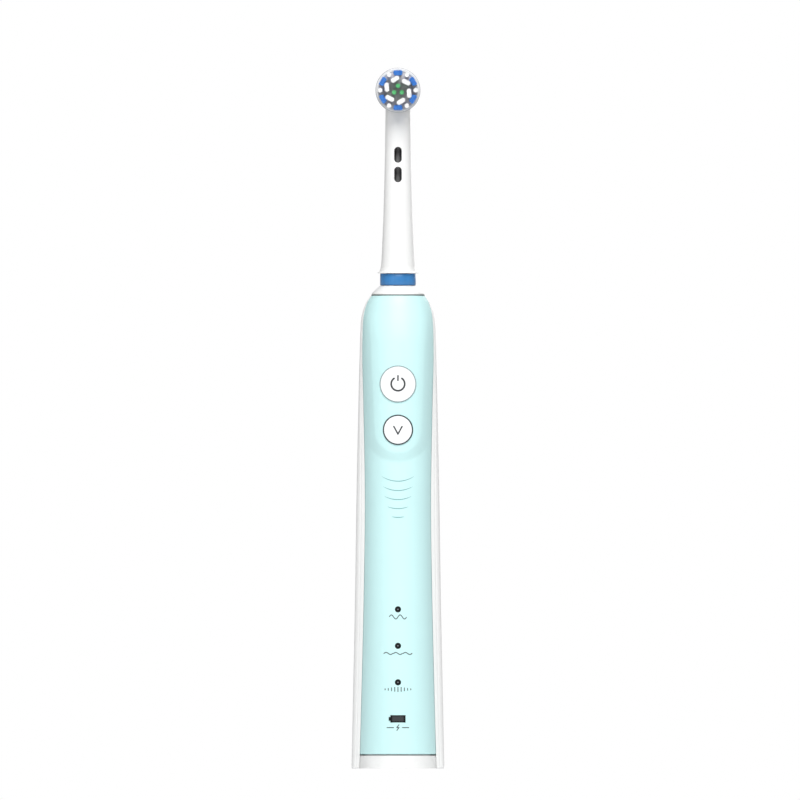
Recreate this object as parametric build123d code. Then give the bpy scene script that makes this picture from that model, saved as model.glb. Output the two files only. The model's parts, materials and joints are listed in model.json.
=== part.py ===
from build123d import *
import os
from math import acos, atan2, cos, degrees, hypot, pi, radians, sin, sqrt

# Electric toothbrush with an oscillating round head. Millimetres, +Z up, bristles towards -Y.
# The origin is the centre of the foot, on the surface that the brush stands on.

os.makedirs("parts", exist_ok=True)

# ---- driving dimensions: handle -------------------------------------------------------------
# height, half-width of the whole handle, half-width of the coloured cover, front depth, back depth
STATIONS = [
    (0.0, 15.9, 13.05, 14.5, 14.5),
    (23.5, 15.4, 12.4, 14.2, 14.2),
    (57.7, 14.7, 11.6, 13.7, 13.8),
    (91.9, 14.2, 11.16, 13.1, 13.4),
    (126.2, 13.5, 11.7, 12.8, 12.9),
    (140.0, 13.15, 12.05, 12.5, 12.6),
    (150.9, 12.8, 11.9, 11.9, 12.0),
    (155.5, 12.3, 11.5, 11.4, 11.5),
    (159.5, 10.9, 10.4, 10.5, 10.6),
    (162.0, 9.25, 8.85, 9.25, 9.25),
]
HALF, COVER, FRONT, BACK = 1, 2, 3, 4
SECTION_HEIGHTS = [9.0 * k for k in range(16)] + [141, 146, 150, 153, 155.5, 157.5, 159, 160.2, 161.2, 162]
LIP_DEPTH = 6.0            # how far the white side strips bulge forward
WALL = 1.6                 # shell thickness
SEAM = 0.12                # gap between the two shells
HANDLE_TOP = 162.0
COVER_BOTTOM = 4.85        # lower edge of the coloured cover
APRON_TOP = 4.4            # upper edge of the foot's front band
TONGUE_RISE = 0.6          # raised panel that frames the buttons
REACH = 40.0               # long enough to cut through anything in the handle

# ---- driving dimensions: foot and charging parts -------------------------------------------
FLOOR = 2.0
WELL_R = 4.3               # charging socket
WELL_DEPTH = 17.0
WELL_WALL = 1.2
PLUG_TOP = 9.0
SEAL_LOW, SEAL_HIGH = 5.6, 7.4
BOBBIN_LOW, BOBBIN_HIGH = 9.6, 17.4
BOBBIN_R, COIL_R, CORE_R = 7.2, 7.0, 6.1

# ---- driving dimensions: controls ----------------------------------------------------------
POWER_Z, POWER_R = 131.7, 6.25
MODE_Z, MODE_R = 116.0, 5.2
BUTTON_GAP = 0.15
BUTTON_PROUD = 0.35
BUTTON_TRAVEL = 0.5
STEM_R, PLUNGER_R = 1.3, 0.9
STEM_END = -9.9
LENS_Z = [54.5, 42.0, 29.5]
LENS_R = 1.03
CHARGE_Z = 17.0
BOARD_FRONT, BOARD_BACK = -8.4, -7.4
BOARD_HALF, BOARD_LOW, BOARD_HIGH = 5.5, 12.0, 138.0

# ---- driving dimensions: battery, motor and gears -------------------------------------------
CELL_R, CELL_LOW, CELL_HIGH, CELL_Y = 7.1, 22.5, 71.4, 2.2
TOOTH_MODULE = 0.35
PINION_TEETH, GEAR_TEETH = 12, 28
PRESSURE_ANGLE = radians(25)
ROCKER_LENGTH = 4.0
SWING = radians(22.5)      # the drive shaft swings this far each way
LINK_LENGTH = 4.7
CRANK_THROW = ROCKER_LENGTH * sin(SWING)
CRANK_X, CRANK_Y = -LINK_LENGTH, ROCKER_LENGTH * cos(SWING)
GEAR_CENTRES = TOOTH_MODULE * (PINION_TEETH + GEAR_TEETH) / 2
MOTOR_Y = 2.2
MOTOR_X = CRANK_X + sqrt(GEAR_CENTRES ** 2 - (CRANK_Y - MOTOR_Y) ** 2)
MOTOR_R, MOTOR_LOW, MOTOR_HIGH = 7.0, 80.0, 111.0
GEAR_LOW, GEAR_HIGH = 120.0, 124.6
LINK_LOW, LINK_HIGH = 126.55, 128.05
ROCKER_LOW, ROCKER_HIGH = 128.2, 130.4
SHAFT_R, SHAFT_TOP = 1.75, 192.0
FIT = 0.05                 # radial running clearance of pins and shafts
SCREW_R = 0.7
FRAME_SCREWS = [(-7.6, -1.2), (-3.6, -5.4), (5.2, -5.6)]
MOTOR_SCREWS = [(MOTOR_X, MOTOR_Y - 4.6), (MOTOR_X, MOTOR_Y + 4.6)]

# ---- driving dimensions: brush head ---------------------------------------------------------
COLLAR_LOW, COLLAR_TOP = 162.3, 165.4
RING_LOW, RING_HIGH, RING_R = 165.6, 169.55, 6.1
DISC_Z = 232.3
DISC_R, PLATE_R = 7.7, 7.1
DISC_FRONT, DISC_BACK = -5.2, -3.5
CUP_R, CUP_FRONT, CUP_REAR = 6.3, -3.2, 4.7
CUP_BORE, CUP_BACK = 5.1, 3.4
ECCENTRIC = 2.2            # throw of the head's drive rod, and its distance below the disc's axis
ROD_R = 1.0
TUFT_ROOT = 0.8            # depth of the tuft holes
# name: count, first angle, ring radius, length, width, lean of the long axis, tip
TUFT_RINGS = {
    "tufts_white_round": (6, 0, 6.1, 1.7, 1.7, 0, -12.9),
    "tufts_blue": (6, 30, 6.0, 3.1, 1.8, 0, -12.7),
    "tufts_white_oblong": (6, 45, 3.9, 3.2, 1.7, 18, -12.5),
    "tufts_green": (3, 90, 1.5, 1.6, 1.6, 0, -12.1),
}


# ---- helpers --------------------------------------------------------------------------------
def cylinder(radius, low, high, x=0.0, y=0.0):
    return Pos(x, y, (low + high) / 2) * Cylinder(radius, high - low)


def tube(outer, inner, low, high, x=0.0, y=0.0):
    return cylinder(outer, low, high, x, y) - cylinder(inner, low, high, x, y)


def block(x0, x1, y0, y1, z0, z1):
    centre = Pos((x0 + x1) / 2, (y0 + y1) / 2, (z0 + z1) / 2)
    return centre * Box(x1 - x0, y1 - y0, z1 - z0)


def rod_y(radius, y0, y1, x=0.0, z=0.0):
    return Pos(x, (y0 + y1) / 2, z) * Rot(90, 0, 0) * Cylinder(radius, y1 - y0)


def lathe(points):
    """A solid of revolution about Z from its (radius, height) outline."""
    outline = Polyline([(r, 0, z) for r, z in points], close=True)
    return revolve(make_face(outline), Axis.Z)


def at_height(z, column):
    """Smooth value of one STATIONS column at a height, by cubic steps between the stations."""
    rows = STATIONS
    k = max(i for i in range(len(rows) - 1) if rows[i][0] <= z)
    slopes = []
    for i in (k, k + 1):
        low, high = rows[max(i - 1, 0)], rows[min(i + 1, len(rows) - 1)]
        slopes.append((high[column] - low[column]) / (high[0] - low[0]))
    span = rows[k + 1][0] - rows[k][0]
    t = (z - rows[k][0]) / span
    start = rows[k][column] * (1 + 2 * t) * (1 - t) ** 2 + slopes[0] * span * t * (1 - t) ** 2
    end = rows[k + 1][column] * t * t * (3 - 2 * t) - slopes[1] * span * t * t * (1 - t)
    return start + end


def cover_half_width(z):
    """Widest half-width of the cover, which is hidden a little behind the white strip."""
    half, cover, front = at_height(z, HALF), at_height(z, COVER), at_height(z, FRONT)
    lip = LIP_DEPTH * sqrt(max(0.0, 1 - (cover / half) ** 2))
    return cover / sqrt(1 - (lip / front) ** 2)


def half_ellipse(z, half_width, depth, front):
    plane = Plane((0, 0, z), x_dir=(1, 0, 0), z_dir=(0, 0, 1))
    start = 180 if front else 0
    return Edge.make_ellipse(half_width, depth, plane, start, start + 180)


def front_body(grow):
    """The cover's outer form, D-shaped in section, with its skin moved out by grow."""
    sections = []
    for z in SECTION_HEIGHTS:
        width = cover_half_width(z) + grow
        arc = half_ellipse(z, width, at_height(z, FRONT) + grow, True)
        sections.append(Face(Wire([arc, Edge.make_line((width, 0, z), (-width, 0, z))])))
    return loft(sections, ruled=True)


def envelope(grow):
    """The white shell's outer form: shallow in front, deep behind, with its skin moved out by grow."""
    sections = []
    for z in SECTION_HEIGHTS:
        half = at_height(z, HALF) + grow
        front_arc = half_ellipse(z, half, LIP_DEPTH + grow, True)
        back_arc = half_ellipse(z, half, at_height(z, BACK) + grow, False)
        sections.append(Face(Wire([front_arc, back_arc])))
    return loft(sections, ruled=True)


# ---- handle shells --------------------------------------------------------------------------
def tongue_outline():
    """Raised panel round the buttons, seen from the front."""
    left = [(-9.9, 158.0), (-10.3, 149.0), (-9.8, 133.0), (-9.2, 122.0), (-8.2, 114.5), (-5.0, 108.2)]
    right = [(-x, z) for x, z in reversed(left)]
    side = Spline([(x, 0, z) for x, z in left + [(0, 106.2)] + right])
    top = Line((right[-1][0], 0, right[-1][1]), (left[0][0], 0, left[0][1]))
    return make_face(Wire([side.edge(), top.edge()]))


def front_cover():
    skin = front_body(0)
    panel = Pos(0, -5.0, 0) * extrude(tongue_outline(), amount=REACH, dir=(0, -1, 0))
    shell = skin + (front_body(TONGUE_RISE) & panel)
    shell -= front_body(-WALL)
    shell -= block(-REACH, REACH, -SEAM, REACH, -1, HANDLE_TOP + 1)
    shell -= block(-REACH, REACH, -REACH, REACH, -1, COVER_BOTTOM)
    shell -= rod_y(POWER_R + BUTTON_GAP, -REACH, 0, z=POWER_Z)
    shell -= rod_y(MODE_R + BUTTON_GAP, -REACH, 0, z=MODE_Z)
    for z in LENS_Z:
        shell -= rod_y(LENS_R + FIT, -REACH, 0, z=z)
    shell -= charge_lens_form(FIT)
    return shell


def back_shell():
    return envelope(0) - envelope(-WALL) - front_body(SEAM)


def section_plate(half_width, depth, rear_half, rear_depth, low, high, step=0.0):
    """A plate with one half-ellipse in front and another, wider one behind, from y = step on."""
    front_arc = half_ellipse(low, half_width, depth, True)
    front_line = Edge.make_line((half_width, 0, low), (-half_width, 0, low))
    rear_arc = half_ellipse(low, rear_half, rear_depth, False)
    rear_line = Edge.make_line((-rear_half, 0, low), (rear_half, 0, low))
    front = extrude(make_face(Wire([front_arc, front_line])), amount=high - low, dir=(0, 0, 1))
    rear = extrude(make_face(Wire([rear_arc, rear_line])), amount=high - low, dir=(0, 0, 1))
    if step:
        rear -= block(half_width, REACH, -1, step, low, high)
        rear -= block(-REACH, -half_width, -1, step, low, high)
    return front + rear


def plug_section(shrink, low, high):
    """The foot's plug follows the cavity of the two shells, smaller by shrink."""
    width = cover_half_width(high) - WALL - shrink
    depth = at_height(high, FRONT) - WALL - shrink
    rear_half = at_height(high, HALF) - WALL - shrink
    rear_depth = at_height(high, BACK) - WALL - shrink
    return section_plate(width, depth, rear_half, rear_depth, low, high, shrink)


def base_cap():
    floor_slab = block(-REACH, REACH, -REACH, REACH, 0, FLOOR)
    floor = (front_body(0) + envelope(-WALL - SEAM)) & floor_slab
    apron = front_body(0) & block(-REACH, REACH, -REACH, -SEAM, 0, APRON_TOP)
    apron -= front_body(-WALL)
    plug = plug_section(0.15, 0.5, PLUG_TOP) - plug_section(1.7, 0, PLUG_TOP + 1)
    groove = plug_section(0, SEAL_LOW, SEAL_HIGH) - plug_section(0.95, SEAL_LOW - 1, SEAL_HIGH + 1)
    well = cylinder(WELL_R + WELL_WALL, 0, WELL_DEPTH + WELL_WALL)
    return floor + apron + plug - groove + well - cylinder(WELL_R, -1, WELL_DEPTH)


def base_seal():
    low, high = SEAL_LOW + 0.1, SEAL_HIGH - 0.1
    return plug_section(0.05, low, high) - plug_section(0.93, low - 1, high + 1)


def collar():
    """White shoulder on top of the handle, with the pockets for the upper bearing and the seal."""
    return lathe([
        (3.6, 150.0), (6.5, 150.0), (6.5, 159.0), (7.3, 159.6), (7.3, COLLAR_LOW),
        (8.9, COLLAR_LOW), (8.8, 162.9), (8.35, 163.3), (6.7, 164.9), (5.9, COLLAR_TOP),
        (3.9, COLLAR_TOP), (3.9, 160.6), (2.3, 160.6), (2.3, 157.6), (3.6, 157.6),
    ])


# ---- controls --------------------------------------------------------------------------------
def button(radius, z):
    """A cap that follows the panel's curve, two catches behind the cover, and a stem."""
    catch_band = block(-1.8, 1.8, -12.8, -10.25, z - 10, z + 10)
    catch_reach = block(-1.8, 1.8, -10.65, -10.25, z - 10, z + 10)
    face = front_body(TONGUE_RISE + BUTTON_PROUD) - front_body(TONGUE_RISE - 1.05)
    cap = rod_y(radius, -REACH, -5.0, z=z) & face
    skirt = (rod_y(radius, -12.8, 0, z=z) - rod_y(radius - 1.0, -REACH, REACH, z=z)) & catch_band
    catches = (rod_y(radius + 0.9, -12.8, 0, z=z) - rod_y(radius - 1.0, -REACH, REACH, z=z)) & catch_reach
    stem = rod_y(STEM_R, -12.6, STEM_END, z=z)
    return cap + skirt + catches + stem


def button_gasket():
    sheet = block(-4.6, 4.6, -9.65, -9.35, MODE_Z - 8, POWER_Z + 8)
    for z in (POWER_Z, MODE_Z):
        sheet -= rod_y(STEM_R + FIT + 0.05, -12, -8, z=z)
    return sheet


def switch_plunger(z):
    return rod_y(PLUNGER_R, STEM_END, -8.98, z=z)


def switch_body(z):
    return block(-2.1, 2.1, -9.3, BOARD_FRONT, z - 2.1, z + 2.1) - rod_y(PLUNGER_R + 0.08, -12, BOARD_FRONT, z=z)


def mode_lens(z):
    return rod_y(LENS_R, -REACH, -9.3, z=z) & front_body(0)


def charge_lens_form(grow):
    """Battery-shaped window: a long body with a small terminal on its left end."""
    body = block(-2.5 - grow, 2.5 + grow, -REACH, -9.3, CHARGE_Z - 1.2 - grow, CHARGE_Z + 1.2 + grow)
    nub = block(-3.1 - grow, -2.0, -REACH, -9.3, CHARGE_Z - 0.6 - grow, CHARGE_Z + 0.6 + grow)
    return body + nub


def charge_lens():
    return charge_lens_form(0) & front_body(0)


def circuit_board():
    return block(-BOARD_HALF, BOARD_HALF, BOARD_FRONT, BOARD_BACK, BOARD_LOW, BOARD_HIGH)


def leds():
    group = Part()
    for z in LENS_Z + [CHARGE_Z]:
        group += block(-0.8, 0.8, BOARD_FRONT - 0.6, BOARD_FRONT, z - 0.5, z + 0.5)
    return group


def control_chips():
    """Motor driver and controller packages on the board."""
    chips = block(-2.6, 2.6, BOARD_FRONT - 1.1, BOARD_FRONT, 92.0, 97.0)
    chips += block(-1.5, 1.5, BOARD_FRONT - 0.9, BOARD_FRONT, 84.0, 88.5)
    return chips + block(-1.8, 1.8, BOARD_FRONT - 1.3, BOARD_FRONT, 66.0, 69.5)


# ---- chassis, battery and charging parts ------------------------------------------------------
def bulkhead(low, high):
    return section_plate(9.2, 10.8, 9.2, 10.6, low, high) & block(-10, 10, BOARD_BACK, 12, low, high)


def chassis():
    frame = bulkhead(19.5, 22.0) + bulkhead(72.6, 75.5) + bulkhead(108.5, MOTOR_HIGH)
    frame += block(-3.4, 3.4, 9.4, 10.5, 19.5, MOTOR_HIGH)
    for side in (-1, 1):
        frame += block(side * 7.9 - 0.6, side * 7.9 + 0.6, -3.0, 3.5, 19.5, 75.5)
    frame += block(-8.5, -7.3, -3.0, 3.5, 75.0, MOTOR_HIGH)
    frame -= cylinder(6.2, 18, 24, 0, CELL_Y)
    frame -= cylinder(MOTOR_R + 0.1, 90, MOTOR_HIGH + 1, MOTOR_X, MOTOR_Y)
    for x, y in FRAME_SCREWS:
        frame -= cylinder(SCREW_R, 100, MOTOR_HIGH + 1, x, y)
    return frame


def battery_cell():
    return cylinder(CELL_R, CELL_LOW, CELL_HIGH, 0, CELL_Y) + cylinder(2.7, CELL_HIGH, 72.1, 0, CELL_Y)


def battery_tab(low):
    """Nickel strip from the end of the cell to the board."""
    return block(-1.5, 1.5, BOARD_BACK, CELL_Y + 2.0, low, low + 0.3)


def coil_bobbin():
    spool = cylinder(BOBBIN_R, BOBBIN_LOW, BOBBIN_HIGH) - tube(COIL_R + 1, CORE_R, BOBBIN_LOW + 1, BOBBIN_HIGH - 1)
    return spool - cylinder(WELL_R + WELL_WALL + 0.1, 0, 30)


def charging_coil():
    return tube(COIL_R, CORE_R, BOBBIN_LOW + 1, BOBBIN_HIGH - 1)


# ---- motor -------------------------------------------------------------------------------------
def motor_can():
    can = tube(MOTOR_R, MOTOR_R - 0.6, MOTOR_LOW, MOTOR_HIGH - 0.8, MOTOR_X, MOTOR_Y)
    can += cylinder(MOTOR_R, MOTOR_HIGH - 0.8, MOTOR_HIGH, MOTOR_X, MOTOR_Y)
    can += cylinder(2.2, MOTOR_HIGH, MOTOR_HIGH + 1.4, MOTOR_X, MOTOR_Y)
    can -= cylinder(0.75 + FIT, MOTOR_HIGH - 2, MOTOR_HIGH + 3, MOTOR_X, MOTOR_Y)
    for x, y in MOTOR_SCREWS:
        can -= cylinder(SCREW_R, MOTOR_HIGH - 2, MOTOR_HIGH + 1, x, y)
    return can


def motor_end_cap():
    cap = cylinder(MOTOR_R, 77.0, MOTOR_LOW, MOTOR_X, MOTOR_Y)
    return cap - cylinder(0.75 + FIT, 78.0, MOTOR_LOW + 1, MOTOR_X, MOTOR_Y)


def motor_magnets():
    ring = tube(MOTOR_R - 0.6, MOTOR_R - 1.6, 85.0, 105.0, MOTOR_X, MOTOR_Y)
    return ring - block(MOTOR_X - 2.2, MOTOR_X + 2.2, -20, 20, 80, 110)


def motor_armature():
    """Three-pole laminated stack with its commutator below."""
    stack = cylinder(5.1, 86.0, 104.0, MOTOR_X, MOTOR_Y)
    for k in range(3):
        slot = Pos(0, 4.2, 95) * Box(1.0, 3.0, 30)
        stack -= Pos(MOTOR_X, MOTOR_Y, 0) * Rot(0, 0, 120 * k) * slot
    stack += cylinder(2.0, 81.5, 86.0, MOTOR_X, MOTOR_Y)
    return stack - cylinder(0.75, 70, 120, MOTOR_X, MOTOR_Y)


def motor_shaft():
    return cylinder(0.75, 78.2, 124.8, MOTOR_X, MOTOR_Y)


# ---- gears and linkage ------------------------------------------------------------------------
def involute(base_radius, radius):
    ratio = max(1.0, radius / base_radius)
    return sqrt(ratio * ratio - 1) - acos(1 / ratio)


def gear_face(teeth, first_tooth, backlash):
    """Involute outline; first_tooth is the direction of one tooth, in radians."""
    pitch = TOOTH_MODULE * teeth / 2
    base = pitch * cos(PRESSURE_ANGLE)
    root = pitch - 1.1 * TOOTH_MODULE
    tip = pitch + 0.8 * TOOTH_MODULE
    half_tooth = pi / (2 * teeth) - backlash / (2 * pitch) + involute(base, pitch)
    radii = [max(base, root) + (tip - max(base, root)) * k / 3 for k in range(4)]
    flank = [(r, half_tooth - involute(base, r)) for r in radii]
    if root < base:
        flank.insert(0, (root, flank[0][1]))
    points = []
    for k in range(teeth):
        middle = first_tooth + 2 * pi * k / teeth
        points += [(r * cos(middle - a), r * sin(middle - a)) for r, a in flank]
        points += [(r * cos(middle + a), r * sin(middle + a)) for r, a in reversed(flank)]
    return make_face(Polyline([(x, y, 0) for x, y in points], close=True))


def toothed_wheel(teeth, first_tooth, low, high, x, y):
    return extrude(Pos(x, y, low) * gear_face(teeth, first_tooth, 0.09), amount=high - low, dir=(0, 0, 1))


def crank_pin_place():
    """Rest place of the crank pin: one throw from the crank's centre and one link from the rocker."""
    dx, dy = -CRANK_X, ROCKER_LENGTH - CRANK_Y
    span = hypot(dx, dy)
    corner = acos((span ** 2 + CRANK_THROW ** 2 - LINK_LENGTH ** 2) / (2 * span * CRANK_THROW))
    angle = atan2(dy, dx) + corner
    return CRANK_X + CRANK_THROW * cos(angle), CRANK_Y + CRANK_THROW * sin(angle)


def motor_pinion():
    toward_gear = atan2(CRANK_Y - MOTOR_Y, CRANK_X - MOTOR_X)
    wheel = toothed_wheel(PINION_TEETH, toward_gear, GEAR_LOW, GEAR_HIGH, MOTOR_X, MOTOR_Y)
    return wheel - cylinder(0.75, 100, 130, MOTOR_X, MOTOR_Y)


def crank_gear():
    toward_pinion = atan2(MOTOR_Y - CRANK_Y, MOTOR_X - CRANK_X)
    gap_first = toward_pinion + pi / GEAR_TEETH
    wheel = toothed_wheel(GEAR_TEETH, gap_first, GEAR_LOW + 0.3, GEAR_HIGH - 0.3, CRANK_X, CRANK_Y)
    wheel += cylinder(2.9, GEAR_LOW - 1.0, GEAR_HIGH, CRANK_X, CRANK_Y)
    wheel -= cylinder(0.9 + FIT, 100, GEAR_HIGH - 1.0, CRANK_X, CRANK_Y)
    pin_x, pin_y = crank_pin_place()
    return wheel - cylinder(0.6, GEAR_HIGH - 0.8, 140, pin_x, pin_y)


def crank_pin():
    pin_x, pin_y = crank_pin_place()
    return cylinder(0.6, GEAR_HIGH - 0.8, LINK_LOW - 0.15, pin_x, pin_y)


def crank_axle():
    return cylinder(0.9, MOTOR_HIGH + 0.2, GEAR_HIGH - 1.1, CRANK_X, CRANK_Y)


def connecting_link():
    pin_x, pin_y = crank_pin_place()
    angle = degrees(atan2(pin_y - ROCKER_LENGTH, pin_x))
    bar = cylinder(1.25, LINK_LOW, LINK_HIGH) + cylinder(1.25, LINK_LOW, LINK_HIGH, LINK_LENGTH)
    bar += block(0, LINK_LENGTH, -0.8, 0.8, LINK_LOW, LINK_HIGH)
    bar -= cylinder(0.6 + FIT, 100, 140) + cylinder(0.6 + FIT, 100, 140, LINK_LENGTH)
    return Pos(0, ROCKER_LENGTH, 0) * Rot(0, 0, angle) * bar


def rocker_arm():
    arm = cylinder(3.0, ROCKER_LOW, ROCKER_HIGH) + cylinder(1.4, ROCKER_LOW, ROCKER_HIGH, 0, ROCKER_LENGTH)
    arm += block(-1.4, 1.4, 0, ROCKER_LENGTH, ROCKER_LOW, ROCKER_HIGH)
    return arm - cylinder(SHAFT_R, 100, 140) - cylinder(0.6, 100, 140, 0, ROCKER_LENGTH)


def rocker_pin():
    return cylinder(0.6, LINK_LOW, ROCKER_HIGH, 0, ROCKER_LENGTH)


def drive_shaft():
    """Steel shaft with a flat near its top for the brush head's socket."""
    shaft = cylinder(SHAFT_R, ROCKER_LOW, SHAFT_TOP)
    return shaft - block(-3, 3, 1.25, 3, SHAFT_TOP - 7, SHAFT_TOP + 1)


def gear_frame():
    """Lower plate on the motor, upper plate round the shaft's lower bearing, and four posts."""
    low, high = MOTOR_HIGH, MOTOR_HIGH + 2.4
    frame = bulkhead(low, high) + bulkhead(133.0, 137.0)
    for x, y in ((7.3, 4.4), (-6.8, -3.9), (7.6, -3.0), (3.4, 8.8)):
        frame += cylinder(1.15, low, 137.0, x, y)
    frame -= cylinder(2.25, low - 1, high + 1, MOTOR_X, MOTOR_Y)
    frame -= cylinder(0.9, MOTOR_HIGH + 0.2, high + 1, CRANK_X, CRANK_Y)
    frame -= cylinder(3.2, 130, 140)
    for x, y in FRAME_SCREWS + MOTOR_SCREWS:
        frame -= cylinder(SCREW_R, low - 1, high + 1, x, y)
    return frame


def screw(x, y, length):
    """Pan-head screw standing on the lower gear plate, with a cross recess."""
    seat = MOTOR_HIGH + 2.4
    body = cylinder(SCREW_R, seat - length, seat, x, y) + cylinder(1.25, seat, seat + 0.9, x, y)
    recess = Box(1.5, 0.35, 0.8) + Box(0.35, 1.5, 0.8)
    return body - Pos(x, y, seat + 0.9) * recess


def screws(places, length):
    group = Part()
    for x, y in places:
        group += screw(x, y, length)
    return group


def shaft_bearing(low, high, outer):
    return tube(outer, SHAFT_R + FIT, low, high)


def shaft_seal():
    """Lip seal in the collar: an outer ring with a thin lip that runs on the shaft."""
    return lathe([
        (3.9, 160.6), (3.9, 163.6), (3.2, 163.6), (3.2, 161.6), (2.1, 163.2),
        (SHAFT_R + FIT, 163.2), (SHAFT_R + FIT, 162.6), (2.4, 160.6),
    ])


# ---- brush head ----------------------------------------------------------------------------------
def neck_sleeve():
    outer = [(6.3, 169.6), (7.0, 169.65), (7.0, 169.95), (6.3, 170.4), (5.8, 172.0)]
    outer += [(5.35, 180.0), (5.0, 188.0), (4.65, 200.0), (4.4, 212.0), (4.25, 225.0), (4.1, 230.0)]
    body = lathe([(0, 169.6)] + outer + [(0, 230.0)])
    body += rod_y(CUP_R, CUP_FRONT, CUP_REAR, z=DISC_Z)
    body -= block(-10, 10, -10, CUP_FRONT, 224.2, 240)
    bore = lathe([
        (0, 169), (3.9, 169), (3.9, 184.4), (3.4, 196.0), (3.0, 206.0), (2.95, 221.0),
        (ROD_R + 0.06, 221.0), (ROD_R + 0.06, 223.4), (3.0, 223.4), (3.0, 229.0), (0, 229.0),
    ])
    body -= bore
    body -= rod_y(CUP_BORE, CUP_FRONT - 1, CUP_BACK, z=DISC_Z)
    body -= rod_y(0.7, 0, 10, z=DISC_Z)
    for low, high in ((207.5, 212.9), (200.8, 206.1)):
        window = Pos(0, 0, (low + high) / 2) * Rot(90, 0, 0) * SlotOverall(high - low, 2.6, rotation=90)
        body -= extrude(window, amount=10, dir=(0, -1, 0))
    return body


def id_ring():
    return tube(RING_R, 3.9, RING_LOW, RING_HIGH)


def head_insert():
    """Tube inside the neck that slides on the drive shaft and carries the colour ring."""
    insert = tube(3.85, SHAFT_R + 0.1, RING_LOW, 184.2)
    for k in range(3):
        groove = Pos(0, 3.85, 177.2) * Box(0.8, 0.6, 16)
        insert -= Rot(0, 0, 60 + 120 * k) * groove
    return insert


def head_drive_rod():
    """Socket on the drive shaft, rod through the neck, and an off-centre ball pin for the disc."""
    rod = cylinder(2.8, 185.0, 195.5) - cylinder(SHAFT_R + FIT, 180, 192.6)
    flat = block(-3, 3, 1.3, 3, 185.0, 192.6) & cylinder(2.5, 185.0, 192.6)
    rod += flat + cylinder(ROD_R, 195.0, 227.2)
    rod += cylinder(0.6, 226.2, 227.2, 0, -ECCENTRIC) + block(-0.6, 0.6, -ECCENTRIC, 0, 226.2, 227.2)
    rod += cylinder(0.42, 226.6, 230.1, 0, -ECCENTRIC) + Pos(0, -ECCENTRIC, 230.1) * Sphere(0.6)
    return rod


def disc_pivot_pin():
    return rod_y(0.7, -4.3, CUP_REAR - 0.1, z=DISC_Z)


def disc_carrier():
    """Round plate with a hub for the pivot pin and a flared fork for the drive rod's ball."""
    disc = rod_y(PLATE_R, DISC_FRONT, DISC_BACK, z=DISC_Z) + rod_y(1.35, DISC_BACK, -1.0, z=DISC_Z)
    disc += block(-1.9, 1.9, DISC_BACK, -1.4, DISC_Z - 4.3, DISC_Z - 0.6)
    disc -= rod_y(0.7 + FIT, -4.4, 0, z=DISC_Z)
    throat = [(-1.32, -4.4), (1.32, -4.4), (0.67, -2.6), (0.67, -1.4), (-0.67, -1.4), (-0.67, -2.6)]
    disc -= Pos(0, -1, DISC_Z) * extrude(Plane.XZ * Polygon(*throat, align=None), amount=2.05)
    for ring in TUFT_RINGS.values():
        for hole in make_tufts(*ring, grow=0.03):
            disc -= hole
    return disc


def disc_rim():
    rim = rod_y(DISC_R, DISC_FRONT - 0.35, DISC_BACK, z=DISC_Z)
    return rim - rod_y(PLATE_R, -10, 0, z=DISC_Z)


def tuft_solid(length, width, grow, top, root):
    """A bundle of bristles along -Y, round where its length and width are the same."""
    face = Circle(width / 2 + grow)
    if length > width:
        face = RectangleRounded(length + 2 * grow, width + 2 * grow, 0.4 * width + grow)
    return Pos(0, root, 0) * Rot(90, 0, 0) * extrude(face, amount=root - top)


def make_tufts(count, first, ring, length, width, lean, top, grow=0.0):
    """Tufts in a ring; lean turns each one's long axis away from the ring's tangent."""
    group = []
    for k in range(count):
        angle = first + 360 / count * k
        x, z = ring * cos(radians(angle)), ring * sin(radians(angle))
        tuft = tuft_solid(length, width, grow, top, DISC_FRONT + TUFT_ROOT)
        group.append(Pos(x, 0, DISC_Z + z) * Rot(0, -angle - 90 - lean, 0) * tuft)
    return group


# ---- output ----------------------------------------------------------------------------------------
def tuft_group(name):
    group = Part()
    for tuft in make_tufts(*TUFT_RINGS[name]):
        group += tuft
    return group


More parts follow.
